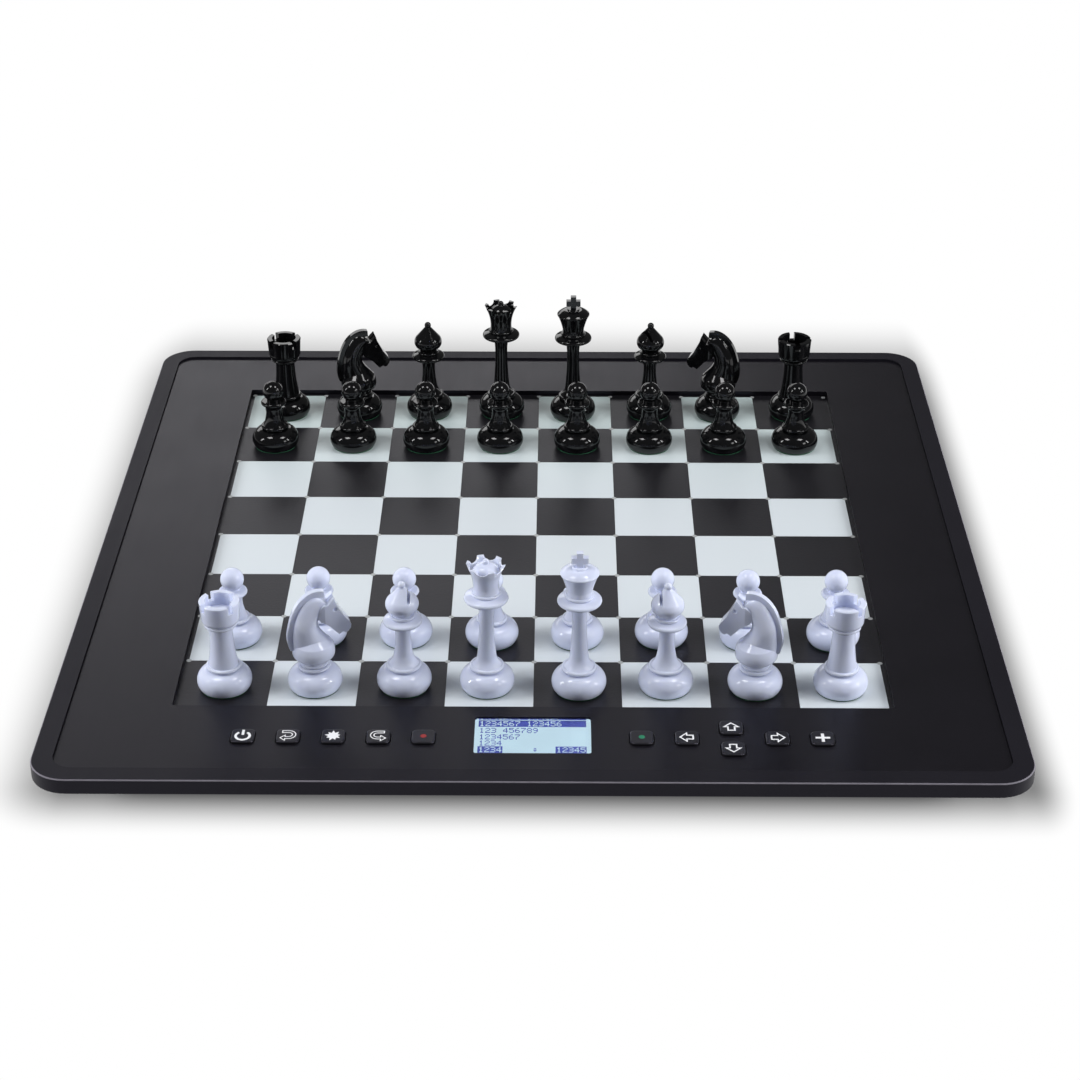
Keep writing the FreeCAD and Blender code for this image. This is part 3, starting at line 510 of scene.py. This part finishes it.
def displayInkFaces():
    low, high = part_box("lcd_window")
    wide, deep = displaySet["window"]
    centre = (low + high) / 2
    left = centre.x - wide * (0.5 - displaySet["edge"])
    back = centre.y + deep / 2 + displaySet["shift"]
    pitch = displaySet["signPitch"]
    dotWidth = wide * (1 - 2 * displaySet["edge"]) / (pitch * displaySet["columns"])
    dotDepth = deep * displaySet["rowHeight"] / displaySet["rowDots"]
    z = low.z + displaySet["lift"]
    faces = []
    for row in displaySet["rows"]:
        top = back - deep * row["top"]
        inked = set()
        for index, sign in enumerate(row["text"]):
            if sign == " ":
                continue
            for down, line in enumerate(signDots[sign].split()):
                for across, dot in enumerate(line):
                    if dot == "1":
                        inked.add(((row["start"] + index) * pitch + across, down + 1))
        if row["bar"]:
            # pale signs on a bar of ink
            first, last = row["bar"]
            columns = range(first * pitch - 1, last * pitch)
            inked = {(across, down) for across in columns for down in range(displaySet["barDots"])} - inked
        for across, down in sorted(inked):
            x = left + across * dotWidth
            y = top - down * dotDepth
            faces.append(rectangle(x, y - dotDepth, x + dotWidth, y, z))
    return faces


dress(displayPaint(), "lcd_panel")
dress(coverPaint(), "lcd_window")
numbers = inkPiece("displayNumbers", displayInkFaces(), displaySet["thickness"], "machine", inkPaint())
print("display drawn")


# printed marks on the keys, in millimetres from the middle of each key
markSet = {
    "sink": 0.00002,
    "thickness": 0.00005,
    "white": (0.78, 0.79, 0.82),
    "red": (0.26, 0.022, 0.024),
    "green": (0.01, 0.18, 0.09),
    "wearSize": 0.0005,
    "wearDepth": 0.00001,
    "wearTones": (0.88, 1.08),
    "roughness": 0.45,
    "uneven": 0.2,
    "sharpest": 0.45,  # how far a mitred corner may reach out
    "power": {"line": 1.0, "middle": (0, -0.4), "radius": 2.7, "sweep": (125, 415), "steps": 28,
              "bar": [(0, 0.2), (0, 3.6)]},
    "turn": {"line": 0.42, "middle": (0.3, 0.5), "outer": 2.7, "inner": 1.4, "tail": -2.2,
             "outerSteps": 14, "innerSteps": 10,
             "head": [(-1.0, -2.2), (-1.0, -3.4), (-2.9, -1.6), (-1.0, 0.2), (-1.0, -0.9)]},
    "arrow": {"line": 0.6, "outline": [(2.7, 0), (0.1, 2.8), (0.1, 1.3), (-2.3, 1.3),
                                       (-2.3, -1.3), (0.1, -1.3), (0.1, -2.8)]},
    "dot": {"radius": 1.2, "sides": 24},
    "plus": {"arm": 2.8, "half": 0.6},
    "burst": {"spikes": (3.5, 3.0, 3.4, 2.9, 3.5, 3.1, 3.3, 2.9, 3.4), "foot": 1.9},
}


def arc(middle, radius, start, end, count):
    x, y = middle
    angles = [math.radians(start + (end - start) * step / count) for step in range(count + 1)]
    return [(x + radius * math.cos(angle), y + radius * math.sin(angle)) for angle in angles]


def stroke(points, width, closed=False):
    # band of even width along a line, with mitred corners
    total = len(points)
    sides = []
    for index, point in enumerate(points):
        here = Vector(point)
        before = Vector(points[index - 1]) if closed or index else None
        after = Vector(points[(index + 1) % total]) if closed or index < total - 1 else None
        inward = (here - before).normalized() if before else (after - here).normalized()
        onward = (after - here).normalized() if after else inward
        across = Vector((-inward.y - onward.y, inward.x + onward.x)).normalized()
        reach = width / 2 / max(markSet["sharpest"], across.dot(Vector((-inward.y, inward.x))))
        sides.append((here + across * reach, here - across * reach))
    pairs = list(zip(sides, sides[1:] + sides[:1]))
    if not closed:
        pairs = pairs[:-1]
    return [[a[0], a[1], b[1], b[0]] for a, b in pairs]


def powerMark():
    power = markSet["power"]
    ring = arc(power["middle"], power["radius"], *power["sweep"], power["steps"])
    return stroke(ring, power["line"]) + stroke(power["bar"], power["line"])


def turnMark(way):
    turn = markSet["turn"]
    middle = turn["middle"]
    outline = [(turn["tail"], middle[1] + turn["outer"])]
    outline += arc(middle, turn["outer"], 90, -90, turn["outerSteps"])
    outline += turn["head"]
    outline += arc(middle, turn["inner"], -90, 90, turn["innerSteps"])
    outline += [(turn["tail"], middle[1] + turn["inner"])]
    return stroke([(way * x, y) for x, y in outline], turn["line"], True)


def burstMark(spikes, foot):
    points = []
    for index, spike in enumerate(spikes):
        for step, reach in ((0, spike), (1, foot)):
            angle = math.pi * (2 * index + step) / len(spikes) + math.pi / 2
            points.append((reach * math.cos(angle), reach * math.sin(angle)))
    return [[(0.0, 0.0), first, second] for first, second in zip(points, points[1:] + points[:1])]


def arrowMark(turn):
    arrow = markSet["arrow"]
    cosine = math.cos(math.radians(turn))
    sine = math.sin(math.radians(turn))
    outline = [(x * cosine - y * sine, x * sine + y * cosine) for x, y in arrow["outline"]]
    return stroke(outline, arrow["line"], True)


def dotMark(radius, sides):
    return [arc((0, 0), radius, 0, 360 - 360 / sides, sides - 1)]


def plusMark(arm, half):
    middle = [(-half, -half), (half, -half), (half, half), (-half, half)]
    arms = []
    for first, second in zip(middle, middle[1:] + middle[:1]):
        out = [(arm - half) * (a + b) / (2 * half) for a, b in zip(first, second)]
        ends = [(corner[0] + out[0], corner[1] + out[1]) for corner in (first, second)]
        arms.append([second, first] + ends)
    return [middle] + arms


def markPaint(name, colour):
    paint = newPaint(name)
    wear = paint.grain(markSet["wearSize"], "fine")
    return paint.finish(
        Base_Color=paint.tones(wear, colour, *markSet["wearTones"]),
        Roughness=paint.around(markSet["roughness"], wear, markSet["uneven"]),
        Normal=paint.bump(wear, markSet["wearDepth"]),
    )


whiteInk = markPaint("whiteInk", markSet["white"])
keyMarks = {
    "power_button": (powerMark(), whiteInk),
    "takeback_button": (turnMark(1), whiteInk),
    "hint_button": (burstMark(**markSet["burst"]), whiteInk),
    "replay_button": (turnMark(-1), whiteInk),
    "red_button": (dotMark(**markSet["dot"]), markPaint("redInk", markSet["red"])),
    "green_button": (dotMark(**markSet["dot"]), markPaint("greenInk", markSet["green"])),
    "left_button": (arrowMark(180), whiteInk),
    "up_button": (arrowMark(90), whiteInk),
    "down_button": (arrowMark(270), whiteInk),
    "right_button": (arrowMark(0), whiteInk),
    "new_game_button": (plusMark(**markSet["plus"]), whiteInk),
}
for keyName, (faces, ink) in keyMarks.items():
    low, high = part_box(keyName)
    middle = (low + high) / 2
    base = Vector((middle.x, middle.y, high.z - markSet["sink"]))
    placed = [[base + Vector((x, y, 0)) / 1000 for x, y in face] for face in faces]
    mark = inkPiece(keyName + "_mark", placed, markSet["thickness"], keyName + "_body", ink)
print("key marks drawn")


# inner pieces and metal
innerSet = {
    "board": (0.012, 0.10, 0.045),
    "silicone": (0.33, 0.33, 0.35),
    "rubber": (0.012, 0.012, 0.012),
    "sleeve": (0.09, 0.09, 0.10),
    "steel": (0.56, 0.56, 0.55),
    "weaveSize": 0.0009,
    "weaveDepth": 0.00001,
    "weaveShare": 0.4,
    "boardCloud": 0.01,
    "boardTones": (0.75, 1.25),
    "boardRoughness": 0.35,
    "boardUneven": 0.1,
    "matGrain": 0.0005,
    "footGrain": 0.0006,
    "grainDepth": 0.00005,
    "dustSize": 0.006,
    "dustShare": 0.5,
    "softTones": (0.8, 1.3),
    "softRoughness": 0.75,
    "softUneven": 0.2,
    "brushSize": 0.0015,
    "brushStretch": (1.0, 12.0, 12.0),
    "brushDepth": 0.00001,
    "brushTones": (0.85, 1.1),
    "brushRoughness": 0.3,
    "brushUneven": 0.15,
    "sleeveMetal": 0.4,
    "steelMetal": 1.0,
}


def boardPaint():
    paint = newPaint("solderMask")
    weave = paint.checks(innerSet["weaveSize"])
    cloud = paint.grain(innerSet["boardCloud"])
    shade = paint.blend(weave, cloud, innerSet["weaveShare"])
    return paint.finish(
        Base_Color=paint.tones(shade, innerSet["board"], *innerSet["boardTones"]),
        Roughness=innerSet["boardRoughness"] + cloud * innerSet["boardUneven"],
        Normal=paint.bump(weave, innerSet["weaveDepth"]),
    )


def softPaint(name, colour, grainSize):
    paint = newPaint(name)
    speck = paint.grain(grainSize, "fine")
    dust = paint.grain(innerSet["dustSize"], "fine")
    shade = paint.blend(dust, speck, innerSet["dustShare"])
    return paint.finish(
        Base_Color=paint.tones(shade, colour, *innerSet["softTones"]),
        Roughness=paint.around(innerSet["softRoughness"], dust, innerSet["softUneven"]),
        Normal=paint.bump(speck, innerSet["grainDepth"]),
    )


def steelPaint(name, colour, metal):
    paint = newPaint(name)
    brush = paint.grain(innerSet["brushSize"], "soft", innerSet["brushStretch"])
    return paint.finish(
        Base_Color=paint.tones(brush, colour, *innerSet["brushTones"]),
        Metallic=metal,
        Roughness=innerSet["brushRoughness"] + brush * innerSet["brushUneven"],
        Normal=paint.bump(brush, innerSet["brushDepth"]),
    )


dress(boardPaint(), "sensor_board", "control_board")
dress(softPaint("siliconeMat", innerSet["silicone"], innerSet["matGrain"]), "key_mat")
dress(softPaint("footRubber", innerSet["rubber"], innerSet["footGrain"]), "rubber_feet")
dress(steelPaint("cellSleeve", innerSet["sleeve"], innerSet["sleeveMetal"]), "battery_cells")
zincSteel = steelPaint("zincSteel", innerSet["steel"], innerSet["steelMetal"])
dress(zincSteel, "battery_contacts", "case_screws")
print("inner pieces dressed")


# floor: white all round, but grey near the case, where it shows the real shadow darkened by painted shade
floorSet = {
    "half": 25.0,
    # grey of the floor: near the case it is seen, and it darkens the real shadow there as painted shade
    "colour": (0.29, 0.29, 0.29),
    "roughness": 0.9,
    "glow": (1.0, 1.0, 1.0),
    # where the painted shade near the case starts to fade to white and where it is gone, from the case
    # edge
    "left": (-0.008, 0.029),
    "right": (0.004, 0.022),
    "front": (-0.034, 0.002),
    "back": (0.010, 0.100),
}

floorMesh = bpy.data.meshes.new("floor")
reach = floorSet["half"]
floorMesh.from_pydata(rectangle(-reach, -reach, reach, reach, 0.0), [], [(0, 1, 2, 3)])
floor = bpy.data.objects.new("floor", floorMesh)
scene.collection.objects.link(floor)


def floorPaint():
    paint = newPaint("paleFloor")
    x, y = paint.axes()[:2]
    edge = cadBox[1].x
    fades = []
    for side, distance in (("left", 0 - x), ("right", x), ("front", 0 - y), ("back", y)):
        start, end = floorSet[side]
        fades.append(paint.sum("MAXIMUM", (distance - edge - start) / (end - start), 0.0))
    left, right, near, far = fades
    across = left + right
    along = near + far
    away = paint.sum("POWER", across * across + along * along, 0.5)
    # 0 near the case, where the grey floor shows as painted shade; 1 farther out, where camera and gloss
    # see white
    clear = paint.ramp(away, 0.0, 1.0)
    rays = paint.node("ShaderNodeLightPath", {}, {}, "Is Camera Ray")
    outputs = rays.socket.node.outputs
    seen = paint.sum("MAXIMUM", rays, Wire(paint, outputs["Is Glossy Ray"]))
    seen = paint.sum("MAXIMUM", seen, Wire(paint, outputs["Is Transmission Ray"]))
    paint.finish(
        Base_Color=tint(floorSet["colour"]),
        Roughness=floorSet["roughness"],
        Specular_IOR_Level=0.0,
    )
    glow = paint.node("ShaderNodeEmission", {}, {"Color": tint(floorSet["glow"])}, "Emission")
    plain = Wire(paint, paint.shader.outputs["BSDF"])
    blend = paint.node("ShaderNodeMixShader", {}, {0: seen * clear, 1: plain, 2: glow}, "Shader")
    paint.feed(paint.tree.nodes["Material Output"].inputs["Surface"], blend)
    return paint.owner


floorMesh.materials.append(floorPaint())
print("floor laid")


# studio: big soft boxes left and right that don't show in the gloss, strips and small boxes that do,
# one low behind for the sheen of the deck, dim room
lightSet = {
    "room": 0.10,
    "roomColour": (1.0, 1.0, 1.0),
    "aim": (0.0, 0.0, 0.03),
    "boxes": [
        {"name": "leftBox", "place": (-1.28, -0.1, 0.5), "size": (0.9, 0.6), "watts": 14.8,
         "glare": False},
        {"name": "rightBox", "place": (1.28, -0.15, 0.48), "size": (0.7, 0.6), "watts": 14.6,
         "glare": False},
        {"name": "leftStrip", "place": (-1.2, -0.25, 0.7), "size": (0.1, 0.5), "watts": 2.6},
        {"name": "rightStrip", "place": (1.2, -0.3, 0.7), "size": (0.1, 0.5), "watts": 2.6},
        {"name": "leftSpark", "place": (-0.5, -0.16, 1.2), "size": (0.34, 0.34), "watts": 3.6},
        {"name": "rightSpark", "place": (0.5, -0.16, 1.2), "size": (0.34, 0.34), "watts": 3.6},
        {"name": "frontSpark", "place": (0.95, -0.66, 0.59), "size": (0.25, 0.3), "watts": 1.2},
        {"name": "backBox", "place": (-0.53, 1.7, 0.72), "size": (1.5, 0.45), "watts": 4.8},
    ],
}

for box in lightSet["boxes"]:
    lampData = bpy.data.lights.new(box["name"], "AREA")
    lampData.shape = "RECTANGLE"
    lampData.size, lampData.size_y = box["size"]
    lampData.energy = box["watts"]
    lamp = bpy.data.objects.new(box["name"], lampData)
    lamp.location = box["place"]
    lamp.visible_glossy = box.get("glare", True)
    lamp.rotation_euler = turnTo(box["place"], lightSet["aim"])
    scene.collection.objects.link(lamp)

world = bpy.data.worlds.new("room")
scene.world = world
world.use_nodes = True
room = world.node_tree.nodes["Background"]
room.inputs["Color"].default_value = tint(lightSet["roomColour"])
room.inputs["Strength"].default_value = lightSet["room"]
print("lights set")
